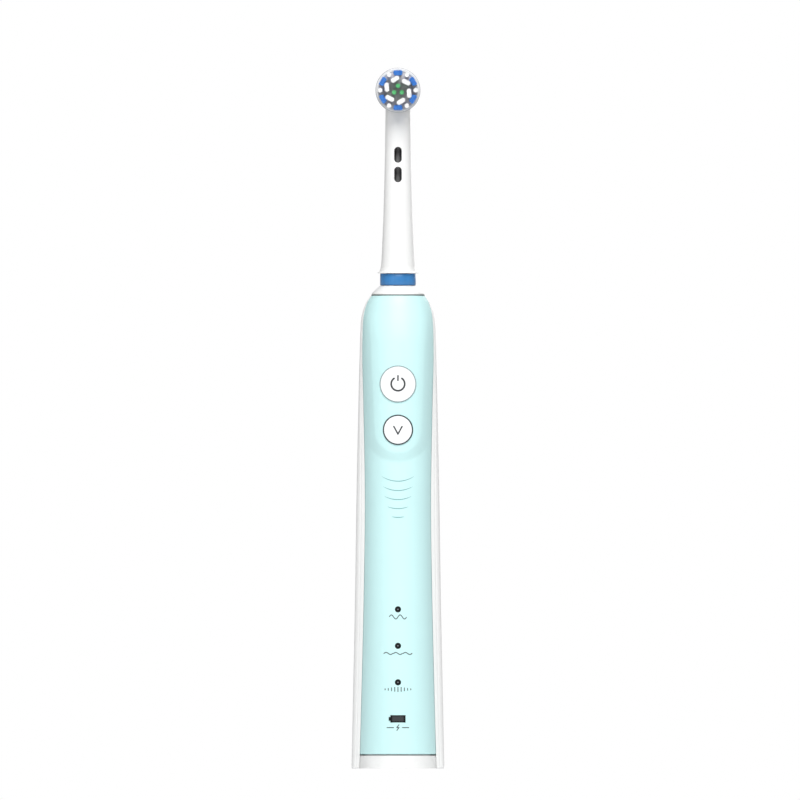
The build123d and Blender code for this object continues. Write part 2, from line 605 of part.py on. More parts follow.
NODES = {
    "front_cover": front_cover,
    "back_shell": back_shell,
    "base_cap": base_cap,
    "base_seal": base_seal,
    "collar": collar,
    "shaft_seal": shaft_seal,
    "power_button": lambda: button(POWER_R, POWER_Z),
    "mode_button": lambda: button(MODE_R, MODE_Z),
    "power_switch_plunger": lambda: switch_plunger(POWER_Z),
    "mode_switch_plunger": lambda: switch_plunger(MODE_Z),
    "power_switch": lambda: switch_body(POWER_Z),
    "mode_switch": lambda: switch_body(MODE_Z),
    "button_gasket": button_gasket,
    "mode_lens_1": lambda: mode_lens(LENS_Z[0]),
    "mode_lens_2": lambda: mode_lens(LENS_Z[1]),
    "mode_lens_3": lambda: mode_lens(LENS_Z[2]),
    "charge_lens": charge_lens,
    "circuit_board": circuit_board,
    "indicator_leds": leds,
    "control_chips": control_chips,
    "chassis": chassis,
    "battery_cell": battery_cell,
    "battery_tab_negative": lambda: battery_tab(CELL_LOW - 0.3),
    "battery_tab_positive": lambda: battery_tab(72.1),
    "coil_bobbin": coil_bobbin,
    "charging_coil": charging_coil,
    "motor_can": motor_can,
    "motor_end_cap": motor_end_cap,
    "motor_magnets": motor_magnets,
    "motor_armature": motor_armature,
    "motor_shaft": motor_shaft,
    "motor_pinion": motor_pinion,
    "gear_frame": gear_frame,
    "frame_screws": lambda: screws(FRAME_SCREWS, 4.5),
    "motor_screws": lambda: screws(MOTOR_SCREWS, 3.0),
    "crank_axle": crank_axle,
    "crank_gear": crank_gear,
    "crank_pin": crank_pin,
    "connecting_link": connecting_link,
    "rocker_arm": rocker_arm,
    "rocker_pin": rocker_pin,
    "drive_shaft": drive_shaft,
    "lower_shaft_bearing": lambda: shaft_bearing(133.4, 136.6, 3.2),
    "upper_shaft_bearing": lambda: shaft_bearing(152.4, 157.6, 3.6),
    "neck_sleeve": neck_sleeve,
    "id_ring": id_ring,
    "head_insert": head_insert,
    "head_drive_rod": head_drive_rod,
    "disc_pivot_pin": disc_pivot_pin,
    "disc_carrier": disc_carrier,
    "disc_rim": disc_rim,
    "tufts_white_round": lambda: tuft_group("tufts_white_round"),
    "tufts_blue": lambda: tuft_group("tufts_blue"),
    "tufts_white_oblong": lambda: tuft_group("tufts_white_oblong"),
    "tufts_green": lambda: tuft_group("tufts_green"),
}

for name, make in NODES.items():
    export_step(make(), f"parts/{name}.step")
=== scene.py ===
import bpy
import bmesh
import json
import random
import numpy as np
from math import asin, atan2, cos, hypot, pi, radians, sin, sqrt
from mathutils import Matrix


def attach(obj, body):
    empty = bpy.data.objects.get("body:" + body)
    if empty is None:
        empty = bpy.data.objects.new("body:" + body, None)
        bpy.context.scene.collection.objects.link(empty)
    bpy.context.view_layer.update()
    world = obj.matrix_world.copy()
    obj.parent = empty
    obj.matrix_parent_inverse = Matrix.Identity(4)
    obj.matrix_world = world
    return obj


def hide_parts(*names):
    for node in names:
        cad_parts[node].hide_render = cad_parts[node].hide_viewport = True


# Electric toothbrush: detailed skins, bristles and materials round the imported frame.
# Sizes and places are in millimetres, which new_piece() and bevel() turn into metres.
# The camera, the lights and the grain and relief of the materials are given in metres.

MM = 0.001
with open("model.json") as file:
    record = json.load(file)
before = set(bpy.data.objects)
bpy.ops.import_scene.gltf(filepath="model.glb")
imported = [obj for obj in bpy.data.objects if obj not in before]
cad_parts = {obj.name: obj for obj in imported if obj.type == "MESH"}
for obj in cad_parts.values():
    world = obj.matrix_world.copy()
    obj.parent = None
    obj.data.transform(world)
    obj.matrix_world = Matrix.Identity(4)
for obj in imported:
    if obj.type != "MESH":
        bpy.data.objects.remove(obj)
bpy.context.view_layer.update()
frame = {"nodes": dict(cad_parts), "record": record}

# ---- driving sizes: handle ------------------------------------------------------------------
# height, half-width of the handle, half-width of the cover, front depth, back depth
STATIONS = [
    (0.0, 15.9, 13.05, 14.5, 14.5),
    (23.5, 15.4, 12.4, 14.2, 14.2),
    (57.7, 14.7, 11.6, 13.7, 13.8),
    (91.9, 14.2, 11.16, 13.1, 13.4),
    (126.2, 13.5, 11.7, 12.8, 12.9),
    (140.0, 13.15, 12.05, 12.5, 12.6),
    (150.9, 12.8, 11.9, 11.9, 12.0),
    (155.5, 12.3, 11.5, 11.4, 11.5),
    (159.5, 10.9, 10.4, 10.5, 10.6),
    (162.0, 9.25, 8.85, 9.25, 9.25),
]
HALF, COVER, FRONT, BACK = 1, 2, 3, 4
LIP_DEPTH, SHELL_WALL, SEAM, EDGE_ROUND = 6.0, 1.5, 0.12, 0.3
COVER_BOTTOM, COVER_REAR, HANDLE_TOP = 4.85, -0.13, 162.0
# the cover's half turn in degrees, and how finely the cover and the white shell are divided
COVER_TURN, COVER_COLUMNS, COVER_STEP = 89.2, 120, 0.6
LIP_COLUMNS, REAR_COLUMNS, REAR_STEP = 20, 100, 1.0
# groove along the white side strips, and the column of the mesh that it follows
STRIP_GROOVE, STRIP_COLUMN = 0.12, 6
# finger ribs on the back, then the closer rows of the mesh that carry them
RIB_COUNT, RIB_TOP, RIB_PITCH, RIB_HALF, RIB_HEIGHT = 9, 126.0, 3.6, 0.9, 0.28
RIB_REACH, RIB_SHORTER, RIB_BOW = 6.4, 0.35, 0.035
RIBBED_ABOVE, RIBBED_STEP, RIBBED_ROWS, RIBBED_CLEAR = 4, 0.3, 130, 0.4
# raised panel round the buttons: its slope, its outline, and where it fades out
PANEL_RISE, PANEL_BEVEL, PANEL_BLEND = 1.15, 3.1, 0.06
PANEL_BOTTOM, PANEL_DROP, PANEL_HALF, PANEL_SPREAD = 115.5, 7.3, 8.0, 0.045
PANEL_FADE, PANEL_FADE_SPAN = 146, 13
# the reach along Y of the shapes that cut the cover's holes
CUT_FRONT, CUT_REAR = -30, -4

# ---- driving sizes: controls and marks ------------------------------------------------------
POWER_Z, POWER_R, POWER_LINE = 131.7, 6.2, 0.24
MODE_Z, MODE_R, MODE_LINE = 116.0, 5.12, 0.36
BUTTON_GAP, BUTTON_PROUD, BUTTON_ROUND = 0.08, 0.35, 0.25
BUTTON_SKIRT, BUTTON_FLOOR = 1.7, 1.4
LENS_Z, LENS_R, LENS_GAP = (54.5, 42.0, 29.5), 1.03, 0.04
CHARGE_Z, CHARGE_GAP = 17.0, 0.06
PICTOGRAM_Z = (51.9, 39.4, 27.1, 14.0)
INK_RISE, INK_ROOT, MARK_LINE = 0.05, 0.08, 0.32

# ---- driving sizes: brush head --------------------------------------------------------------
COLLAR_LOW, COLLAR_TOP = 162.3, 165.4
RING_LOW, RING_HIGH, RING_R, RING_BORE = 165.42, 169.55, 6.1, 3.95
DISC_Z, DISC_R, PLATE_R = 232.3, 7.7, 7.1
DISC_FRONT, DISC_BACK, LIP_R = -5.2, -3.5, 6.5
CUP_R, CUP_FRONT, CUP_REAR = 6.3, -3.2, 4.7
CUP_BORE, CUP_BACK = 5.1, 3.4
# height and outer radius of the neck: a thin lip at its foot, a quick flare, then a slow taper
NECK_MARKS = [
    (169.6, 6.75), (169.68, 6.96), (169.8, 7.0), (169.92, 6.92), (170.05, 6.65), (170.3, 6.3),
    (171.0, 6.02), (172.0, 5.8), (175.0, 5.55), (180.0, 5.35), (188.0, 5.0), (200.0, 4.65),
    (212.0, 4.4), (225.0, 4.25), (240.0, 4.2),
]
# the neck's two windows, their half-width, and the width of the painted shade round their edges
NECK_WINDOWS, WINDOW_HALF, WINDOW_SHADE_WIDTH = ((207.5, 212.9), (200.8, 206.1)), 1.3, 0.28
# where the neck turns into the round head, and how soft and how square that head is
SHOULDER_Z, SHOULDER_SPAN, SHOULDER_SOFT = 220.5, 8.5, 1.1
CROWN_ROUND, CUP_SQUARENESS = 1.8, 3.2
TUFT_GROW, CORE_SHRINK, CORE_SHORT = 0.06, 0.1, 0.3
FILAMENT_PITCH, FILAMENT_R, FILAMENT_FOOT = 0.2, 0.092, DISC_FRONT + 0.75
FILAMENT_JITTER, FILAMENT_LEAN, FILAMENT_SPLAY, FILAMENT_UNEVEN = 0.015, 0.02, 0.03, 0.22

# ---- driving sizes: studio, in metres -------------------------------------------------------
CAMERA_PLACE, CAMERA_SCALE = (0.0007, -1.5, 0.1262), 0.274
LIGHT_TARGET = (0, 0, 0.12)
# name, place, size and power of each light
LIGHTS = [
    ("key", (0.1, -1.35, 1.55), 1.25, 38),
    ("fill", (-0.9, -1.7, 0.3), 1.2, 3),
    ("back_fill", (0.5, 2.0, 0.9), 1.6, 12),
]
WORLD_STRENGTH = 0.33
FLOOR_HALF, FLOOR_DROP = 0.9, 0.0002


# ---- helpers: numbers -----------------------------------------------------------------------
def smooth(t):
    """Soft step from 0 to 1."""
    t = min(1.0, max(0.0, t))
    return t * t * (3 - 2 * t)


def at_height(z, column):
    """Smooth value of one STATIONS column at a height."""
    rows = STATIONS
    z = min(max(z, rows[0][0]), rows[-1][0])
    k = min(max(i for i in range(len(rows)) if rows[i][0] <= z), len(rows) - 2)
    slopes = []
    for i in (k, k + 1):
        low, high = rows[max(i - 1, 0)], rows[min(i + 1, len(rows) - 1)]
        slopes.append((high[column] - low[column]) / (high[0] - low[0]))
    span = rows[k + 1][0] - rows[k][0]
    t = (z - rows[k][0]) / span
    start = rows[k][column] * (1 + 2 * t) * (1 - t) ** 2 + slopes[0] * span * t * (1 - t) ** 2
    end = rows[k + 1][column] * t * t * (3 - 2 * t) - slopes[1] * span * t * t * (1 - t)
    return start + end


def cover_half_width(z):
    """Half-width of the full ellipse that the cover's front is a part of."""
    half, cover, front = at_height(z, HALF), at_height(z, COVER), at_height(z, FRONT)
    lip = LIP_DEPTH * sqrt(max(0.0, 1 - (cover / half) ** 2))
    return cover / sqrt(1 - (lip / front) ** 2)


def ramp(t, blend):
    """Straight ramp from 0 to 1 whose two corners are rounded."""
    if t <= -blend or t >= 1 + blend:
        return float(t > 0.5)
    if t < blend:
        return (t + blend) ** 2 / (4 * blend)
    if t > 1 - blend:
        return 1 - (1 + blend - t) ** 2 / (4 * blend)
    return t


def panel_rise(x, z):
    """Height of the raised panel round the buttons; it fades out towards the collar."""
    if z < PANEL_BOTTOM:
        margin = (1 - hypot(x / PANEL_HALF, (PANEL_BOTTOM - z) / PANEL_DROP)) * PANEL_DROP
    else:
        margin = PANEL_HALF + PANEL_SPREAD * (z - PANEL_BOTTOM) - abs(x)
    fade = 1 - smooth((z - PANEL_FADE) / PANEL_FADE_SPAN)
    return PANEL_RISE * fade * ramp(1 + margin / PANEL_BEVEL, PANEL_BLEND)


def front_y(x, z):
    """Place of the cover's outer skin along Y."""
    reach = sqrt(max(0.0, 1 - (x / cover_half_width(z)) ** 2))
    return -at_height(z, FRONT) * reach - panel_rise(x, z)


def corner_inset(z, low, high, radius):
    """How far a rounded edge pulls the skin in near the two ends of a shell."""
    gap = min(z - low, high - z)
    if gap >= radius:
        return 0.0
    return radius - sqrt(radius ** 2 - (radius - gap) ** 2)


def heights(low, high, step, radius):
    """Rows from low to high, closer together on the rounded ends."""
    fine = [radius * k / 4 for k in range(4)]
    count = int((high - low - 2 * radius) / step) + 1
    middle = [low + radius + (high - low - 2 * radius) * k / count for k in range(count + 1)]
    return [low + f for f in fine] + middle + [high - f for f in reversed(fine)]


def circle(radius, x=0.0, z=0.0, count=64, start=0.0, sweep=2 * pi):
    """Points of a full circle, or of an arc with both its ends."""
    steps = count if sweep >= 2 * pi else count - 1
    turns = [start + sweep * k / steps for k in range(count)]
    return [(x + radius * cos(turn), z + radius * sin(turn)) for turn in turns]


# ---- helpers: meshes ------------------------------------------------------------------------
def new_piece(name, verts, faces, body, material, sharp=35):
    """A mesh object from millimetre points, shaded smooth except at sharp edges."""
    mesh = bpy.data.meshes.new(name)
    mesh.from_pydata([(x * MM, y * MM, z * MM) for x, y, z in verts], [], faces)
    piece = bpy.data.objects.new(name, mesh)
    bpy.context.scene.collection.objects.link(piece)
    piece.data.materials.append(material)
    if body:
        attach(piece, body)
    tidy_shading(piece, sharp)
    return piece


def tidy_shading(piece, sharp=35):
    """Turns the faces outwards and marks every edge bent by more than the sharp angle."""
    form = bmesh.new()
    form.from_mesh(piece.data)
    bmesh.ops.recalc_face_normals(form, faces=form.faces)
    for face in form.faces:
        face.smooth = True
    for edge in form.edges:
        edge.smooth = len(edge.link_faces) == 2 and edge.calc_face_angle(0) < radians(sharp)
    form.to_mesh(piece.data)
    form.free()


def apply_modifiers(piece):
    """Turns the piece's modifiers into plain mesh."""
    graph = bpy.context.evaluated_depsgraph_get()
    mesh = bpy.data.meshes.new_from_object(piece.evaluated_get(graph))
    piece.modifiers.clear()
    piece.data = mesh


def bevel(piece, width):
    """Rounds every edge that is bent by more than 40 degrees."""
    mod = piece.modifiers.new("bevel", "BEVEL")
    mod.width = width * MM
    mod.segments = 3
    mod.limit_method = "ANGLE"
    mod.angle_limit = radians(40)
    apply_modifiers(piece)
    tidy_shading(piece)


def cut(piece, cutters):
    """Takes the cutters' shapes out of the piece, then throws them away."""
    for cutter in cutters:
        mod = piece.modifiers.new("cut", "BOOLEAN")
        mod.operation = "DIFFERENCE"
        mod.solver = "EXACT"
        mod.object = cutter
        apply_modifiers(piece)
        bpy.data.objects.remove(cutter)
    tidy_shading(piece)


def grid_faces(rows, cols, wrap=False, base=0):
    """Faces between the rows of a grid of points, whose rows may close on themselves."""
    faces = []
    for r in range(rows - 1):
        for c in range(cols if wrap else cols - 1):
            d = (c + 1) % cols
            a = base + r * cols
            faces.append((a + c, a + d, a + cols + d, a + cols + c))
    return faces


def turning_faces(around, cols):
    """Faces of a closed outline of cols points that is turned all the way round."""
    faces = []
    for s in range(around):
        a, b = s * cols, ((s + 1) % around) * cols
        faces += [(a + c, b + c, b + (c + 1) % cols, a + (c + 1) % cols) for c in range(cols)]
    return faces


def thick_skin(outer, inner):
    """A closed solid between two equal grids of points."""
    rows, cols = len(outer), len(outer[0])
    verts = [p for row in outer for p in row] + [p for row in inner for p in row]
    shift = rows * cols
    faces = grid_faces(rows, cols) + [tuple(reversed(f)) for f in grid_faces(rows, cols, base=shift)]
    rim = list(range(cols)) + [r * cols + cols - 1 for r in range(1, rows)]
    rim += [(rows - 1) * cols + c for c in reversed(range(cols - 1))]
    rim += [r * cols for r in reversed(range(1, rows - 1))]
    for a, b in zip(rim, rim[1:] + rim[:1]):
        faces.append((b, a, a + shift, b + shift))
    return verts, faces


def lathe(name, profile, body, material, segments=96):
    """Turns a closed (radius, height) outline about the brush's own axis."""
    verts = []
    for s in range(segments):
        turn = 2 * pi * s / segments
        verts += [(r * cos(turn), r * sin(turn), z) for r, z in profile]
    return new_piece(name, verts, turning_faces(segments, len(profile)), body, material)


def ring_y(name, profile, material):
    """Turns a closed (radius, y) outline about the bristle disc's axis."""
    around = 128
    verts = []
    for s in range(around):
        turn = 2 * pi * s / around
        verts += [(r * cos(turn), y, DISC_Z + r * sin(turn)) for r, y in profile]
    return new_piece(name, verts, turning_faces(around, len(profile)), "bristle_disc", material)


def prism_y(name, outline, y0, y1, body=None, material=None):
    """A solid with the given (x, z) outline between two planes across Y."""
    count = len(outline)
    verts = [(x, y0, z) for x, z in outline] + [(x, y1, z) for x, z in outline]
    faces = [tuple(range(count)), tuple(reversed(range(count, 2 * count)))]
    faces += [(k, (k + 1) % count, count + (k + 1) % count, count + k) for k in range(count)]
    return new_piece(name, verts, faces, body, material)


def stroke_points(path, width, taper, closed):
    """Centre points and half-widths of a stroke; an open one gets pointed or rounded ends."""
    points = [np.array(p, float) for p in path]
    if len(points) < 5:
        runs = zip(points, points[1:])
        points = [a + (b - a) * k / 6 for a, b in runs for k in range(6)] + [points[-1]]
    count = len(points)
    halves = [width / 2] * count
    if taper:
        swell = [sin(pi * (k + 0.25) / (count - 0.5)) ** 0.6 for k in range(count)]
        halves = [max(0.02, width / 2 * s) for s in swell]
    elif not closed:
        for end, inner in ((0, 1), (-1, -2)):
            way = (points[end] - points[inner]) / np.linalg.norm(points[end] - points[inner])
            caps = [(points[end] + way * width / 2 * sin(a), width / 2 * cos(a)) for a in (0.5, 1.0, 1.35)]
            for point, half in caps:
                spot = 0 if end == 0 else len(points)
                points.insert(spot, point)
                halves.insert(spot, half)
    return points, halves


def ribbon(name, path, width, surface, body, material, taper=False, closed=False):
    """A thin raised stroke along an (x, z) path on a curved surface."""
    points, halves = stroke_points(path, width, taper, closed)
    count = len(points)
    verts = []
    for k in range(count):
        back = points[(k - 1) % count] if closed or k else points[k]
        ahead = points[(k + 1) % count] if closed or k < count - 1 else points[k]
        way = (ahead - back) / np.linalg.norm(ahead - back)
        side = np.array((-way[1], way[0])) * halves[k]
        for point in (points[k] + side, points[k] - side):
            y = surface(point[0], point[1])
            verts += [(point[0], y - INK_RISE, point[1]), (point[0], y + INK_ROOT, point[1])]
    faces = []
    for k in range(count if closed else count - 1):
        a, b = 4 * k, 4 * ((k + 1) % count)
        faces += [(a + p, b + p, b + q, a + q) for p, q in ((0, 2), (2, 3), (3, 1), (1, 0))]
    if not closed:
        last = 4 * (count - 1)
        faces += [(0, 2, 3, 1), (last, last + 1, last + 3, last + 2)]
    return new_piece(name, verts, faces, body, material, 50)


# ---- materials ------------------------------------------------------------------------------
def linear(rgb):
    """8-bit display colour to the shader's linear colour."""
    parts = [value / 255 for value in rgb]
    return tuple(c / 12.92 if c <= 0.04045 else ((c + 0.055) / 1.055) ** 2.4 for c in parts) + (1,)


def surface_material(name, rgb, roughness=0.35, tone=0.03, grain=900, bump=0.02, metallic=0.0,
                     stretch=(1, 1, 1), spread=0.06, **sockets):
    """A shader whose colour, roughness and relief all vary a little with a noise grain."""
    material = bpy.data.materials.new(name)
    material.use_nodes = True
    nodes, links = material.node_tree.nodes, material.node_tree.links
    shader = nodes["Principled BSDF"]
    place = nodes.new("ShaderNodeTexCoord")
    scale = nodes.new("ShaderNodeMapping")
    scale.inputs["Scale"].default_value = stretch
    links.new(place.outputs["Object"], scale.inputs["Vector"])
    broad = nodes.new("ShaderNodeTexNoise")
    broad.inputs["Scale"].default_value = grain / 12
    broad.inputs["Detail"].default_value = 3
    fine = nodes.new("ShaderNodeTexNoise")
    fine.inputs["Scale"].default_value = grain
    fine.inputs["Detail"].default_value = 2
    for noise in (broad, fine):
        links.new(scale.outputs["Vector"], noise.inputs["Vector"])
    colour = nodes.new("ShaderNodeMix")
    colour.data_type = "RGBA"
    base = linear(rgb)
    colour.inputs["A"].default_value = tuple(c * (1 - tone) for c in base[:3]) + (1,)
    colour.inputs["B"].default_value = tuple(min(1.0, c * (1 + tone)) for c in base[:3]) + (1,)
    links.new(broad.outputs["Fac"], colour.inputs["Factor"])
    links.new(colour.outputs["Result"], shader.inputs["Base Color"])
    gloss = nodes.new("ShaderNodeMapRange")
    gloss.inputs["To Min"].default_value = max(0.02, roughness - spread)
    gloss.inputs["To Max"].default_value = min(1.0, roughness + spread)
    links.new(broad.outputs["Fac"], gloss.inputs["Value"])
    links.new(gloss.outputs["Result"], shader.inputs["Roughness"])
    relief = nodes.new("ShaderNodeBump")
    relief.inputs["Strength"].default_value = bump
    relief.inputs["Distance"].default_value = 0.0002
    links.new(fine.outputs["Fac"], relief.inputs["Height"])
    links.new(relief.outputs["Normal"], shader.inputs["Normal"])
    shader.inputs["Metallic"].default_value = metallic
    for socket, value in sockets.items():
        shader.inputs[socket.replace("_", " ")].default_value = value
    return material


# Plastics of the handle
MINT = surface_material("mint_plastic", (203, 241, 241), roughness=0.44, tone=0.012, grain=1400, bump=0.015)
WHITE = surface_material("white_plastic", (239, 239, 238), roughness=0.3, tone=0.012, grain=1200, bump=0.012)
BUTTON = surface_material("button_satin", (246, 247, 248), roughness=0.42, tone=0.01, grain=2200, bump=0.03)
GASKET = surface_material("gasket_grey", (112, 122, 120), roughness=0.6, tone=0.06, grain=2500, bump=0.08)
RUBBER = surface_material("seal_rubber", (70, 72, 76), roughness=0.7, tone=0.08, grain=2500, bump=0.12)

# Printed lines and marks, and lines of painted shade round the power button and along the grip
INK = surface_material("icon_ink", (58, 60, 62), roughness=0.5, tone=0.06, grain=3000, bump=0.04)
RING_INK = surface_material("ring_ink", (48, 60, 64), roughness=0.5, tone=0.06, grain=3000, bump=0.04)
# pale grey ring on the power button: painted shade of the gap round its cap
GAP_SHADE_INK = surface_material("power_gap_shade_ink", (158, 174, 176), roughness=0.5, tone=0.05, grain=3000, bump=0.04)
MARK_INK = surface_material("pictogram_ink", (88, 100, 102), roughness=0.5, tone=0.06, grain=3000, bump=0.04)
# darker mint lines: painted shade of the grip's fine ridges
GRIP_SHADE = surface_material("grip_ridge_shade", (128, 176, 178), roughness=0.45, tone=0.04, grain=2500, bump=0.05)

# Indicator and battery windows
LENS = surface_material("smoked_lens", (20, 21, 23), roughness=0.35, tone=0.1, grain=600, bump=0.01,
                        Specular_IOR_Level=0.2)
PANE = surface_material("smoked_pane", (62, 63, 65), roughness=0.4, tone=0.08, grain=900, bump=0.02,
                        Specular_IOR_Level=0.2)
# a paler grey dot in the middle of each dark indicator window
LENS_DOT = surface_material("lens_centre_grey", (120, 124, 128), roughness=0.4, tone=0.05, grain=2500, bump=0.03)

# Metals
STEEL = surface_material("ground_steel", (190, 192, 196), roughness=0.26, tone=0.06, grain=900, bump=0.05,
                         metallic=1.0, stretch=(3, 3, 0.15), spread=0.1)
BRONZE = surface_material("sintered_bronze", (176, 138, 84), roughness=0.42, tone=0.12, grain=3000,
                          bump=0.14, metallic=1.0)
COPPER = surface_material("copper_winding", (190, 104, 60), roughness=0.3, tone=0.1, grain=300, bump=0.5,
                          metallic=1.0, stretch=(0.2, 0.2, 20))
NICKEL = surface_material("nickel_strip", (200, 198, 190), roughness=0.3, tone=0.05, grain=1500, bump=0.06,
                          metallic=1.0)
LAMINATION = surface_material("laminations", (96, 84, 76), roughness=0.5, tone=0.15, grain=500, bump=0.4,
                              metallic=0.6, stretch=(0.2, 0.2, 12))
MAGNET = surface_material("ferrite", (58, 58, 60), roughness=0.75, tone=0.15, grain=2600, bump=0.2)

# Parts inside the handle
BOARD = surface_material("board_mask", (22, 92, 56), roughness=0.35, tone=0.2, grain=700, bump=0.05)
# black of the switch moulding, also used as painted shade in and round the neck windows
BLACK_AND_SHADE = surface_material("black_moulding_and_painted_shade", (30, 30, 33), roughness=0.55, tone=0.1, grain=2500, bump=0.08)
CHASSIS = surface_material("chassis_grey", (150, 154, 160), roughness=0.5, tone=0.05, grain=2000, bump=0.08)
CELL = surface_material("cell_wrap", (50, 120, 84), roughness=0.3, tone=0.06, grain=800, bump=0.03)
ACETAL = surface_material("acetal", (226, 224, 212), roughness=0.4, tone=0.03, grain=1800, bump=0.04)
LED = surface_material("led_package", (232, 230, 214), roughness=0.3, tone=0.04, grain=2000, bump=0.03)

# Parts of the brush head
BLUE = surface_material("ring_blue", (54, 124, 186), roughness=0.3, tone=0.2, grain=9000, bump=0.05,
                        stretch=(1, 1, 0.02))
# dark blue painted shade at both ends of the coloured ring
RING_SHADE_BLUE = surface_material("ring_edge_shade_blue", (34, 74, 118), roughness=0.45, tone=0.08, grain=2500, bump=0.05)
ROD = surface_material("rod_grey", (158, 158, 159), roughness=0.3, tone=0.05, grain=1500, bump=0.04)
PLATE = surface_material("plate_grey", (230, 223, 228), roughness=0.55, tone=0.14, grain=1600, bump=0.2)
RIM = surface_material("rim_translucent", (230, 230, 229), roughness=0.3, tone=0.03, grain=1500, bump=0.03,
                       Transmission_Weight=0.12)
# grey band of painted shade round the rim's rounded outer edge
RIM_EDGE_SHADE = surface_material("rim_edge_shade", (176, 178, 182), roughness=0.35, tone=0.04, grain=1500, bump=0.03)
NYLON_WHITE = surface_material("nylon_white", (252, 252, 252), roughness=0.38, tone=0.03, grain=1800,
                               bump=0.02, stretch=(1, 0.1, 1))
NYLON_BLUE = surface_material("nylon_blue", (80, 146, 222), roughness=0.36, tone=0.1, grain=1800,
                              bump=0.02, stretch=(1, 0.1, 1))
NYLON_GREEN = surface_material("nylon_green", (118, 208, 146), roughness=0.36, tone=0.1, grain=1800,
                               bump=0.02, stretch=(1, 0.1, 1))

SLOT_MATERIALS = {
    "mint_plastic": MINT, "white_plastic": WHITE, "button_white": BUTTON, "seal_rubber": RUBBER,
    "switch_black": BLACK_AND_SHADE, "lens_black": LENS, "board_green": BOARD, "led_white": LED,
    "chassis_grey": CHASSIS, "cell_wrap": CELL, "nickel": NICKEL, "copper": COPPER, "motor_steel": STEEL,
    "magnet": MAGNET, "lamination": LAMINATION, "steel": STEEL, "bronze": BRONZE, "gear_plastic": ACETAL,
    "ring_blue": BLUE, "rod_grey": ROD, "plate_grey": PLATE, "rim_translucent": RIM,
    "bristle_white": NYLON_WHITE, "bristle_blue": NYLON_BLUE, "bristle_green": NYLON_GREEN,
}


def dress_cad_nodes():
    """Gives every CAD node the material of its slot."""
    for part in frame["record"]["subparts"]:
        for slot in frame["nodes"][part["node"]].material_slots:
            slot.material = SLOT_MATERIALS[part["material_slot"]]


# ---- studio: camera, lights, world and floor ------------------------------------------------
def area_light(name, place, size, power):
    """A square light aimed at the middle of the brush."""
    lamp = bpy.data.lights.new(name, "AREA")
    lamp.size = size
    lamp.energy = power
    holder = bpy.data.objects.new(name, lamp)
    bpy.context.scene.collection.objects.link(holder)
    holder.location = place
    aim = np.array(LIGHT_TARGET) - np.array(place)
    holder.rotation_euler = (atan2(hypot(aim[0], aim[1]), -aim[2]), 0, atan2(aim[1], aim[0]) - pi / 2)


def make_camera():
    """Straight on from the front, without perspective."""
    optics = bpy.data.cameras.new("camera")
    optics.type = "ORTHO"
    optics.ortho_scale = CAMERA_SCALE
    camera = bpy.data.objects.new("camera", optics)
    bpy.context.scene.collection.objects.link(camera)
    camera.location = CAMERA_PLACE
    camera.rotation_euler = (pi / 2, 0, 0)
    bpy.context.scene.camera = camera


def make_world():
    """White behind the object, and a dimmer white as the light from all round."""
    world = bpy.data.worlds.new("studio")
    world.use_nodes = True
    nodes, links = world.node_tree.nodes, world.node_tree.links
    soft = nodes["Background"]
    soft.inputs["Color"].default_value = (1, 1, 1, 1)
    soft.inputs["Strength"].default_value = WORLD_STRENGTH
    seen = nodes.new("ShaderNodeBackground")
    seen.inputs["Color"].default_value = (1, 1, 1, 1)
    ray = nodes.new("ShaderNodeLightPath")
    choice = nodes.new("ShaderNodeMixShader")
    links.new(ray.outputs["Is Camera Ray"], choice.inputs["Fac"])
    links.new(soft.outputs["Background"], choice.inputs[1])
    links.new(seen.outputs["Background"], choice.inputs[2])
    links.new(choice.outputs["Shader"], nodes["World Output"].inputs["Surface"])
    bpy.context.scene.world = world
    bpy.context.scene.view_settings.view_transform = "Standard"


def make_floor():
    pale = surface_material("floor_pale", (234, 235, 236), roughness=0.6, tone=0.01, grain=200, bump=0.02)
    half = FLOOR_HALF / MM
    corners = [(-half, -half, 0), (half, -half, 0), (half, half, 0), (-half, half, 0)]
    floor = new_piece("floor", corners, [(0, 1, 2, 3)], None, pale)
    floor.location.z = -FLOOR_DROP


# ---- handle skins ---------------------------------------------------------------------------
def make_front_cover():
    """Mint front with its raised panel and the holes for buttons and windows."""
    rows = heights(COVER_BOTTOM, HANDLE_TOP, COVER_STEP, EDGE_ROUND)
    columns = range(COVER_COLUMNS + 1)
    turns = [radians(-COVER_TURN + 2 * COVER_TURN * k / COVER_COLUMNS) for k in columns]
    outer, inner = [], []
    for z in rows:
        inset = corner_inset(z, COVER_BOTTOM, HANDLE_TOP, EDGE_ROUND)
        width, depth = cover_half_width(z), at_height(z, FRONT)
        line, back = [], []
        for t in turns:
            x = (width - inset) * sin(t)
            line.append((x, -(depth - inset) * cos(t) - panel_rise(x, z), z))
            y = min(COVER_REAR, -(depth - SHELL_WALL) * cos(t))
            back.append(((width - SHELL_WALL) * sin(t), y, z))
        outer.append(line)
        inner.append(back)
    cover = new_piece("front_cover_skin", *thick_skin(outer, inner), "handle", MINT)
    holes = [circle(radius + BUTTON_GAP, 0, z, 128) for z, radius in ((POWER_Z, POWER_R), (MODE_Z, MODE_R))]
    holes += [circle(LENS_R + LENS_GAP, 0, z, 48) for z in LENS_Z]
    holes.append(charge_outline(CHARGE_GAP))
    cut(cover, [prism_y("hole", hole, CUT_FRONT, CUT_REAR) for hole in holes])
    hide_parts("front_cover")


def charge_outline(grow):
    """Battery-shaped window: a body with a short terminal on its left end."""
    half, high, nub, low = 2.55 + grow, 1.2 + grow, 3.1 + grow, 0.55 + grow
    side = [(-nub, -low), (-half, -low), (-half, -high), (half, -high)]
    return [(x, CHARGE_Z + z) for x, z in side + [(x, -z) for x, z in reversed(side)]]


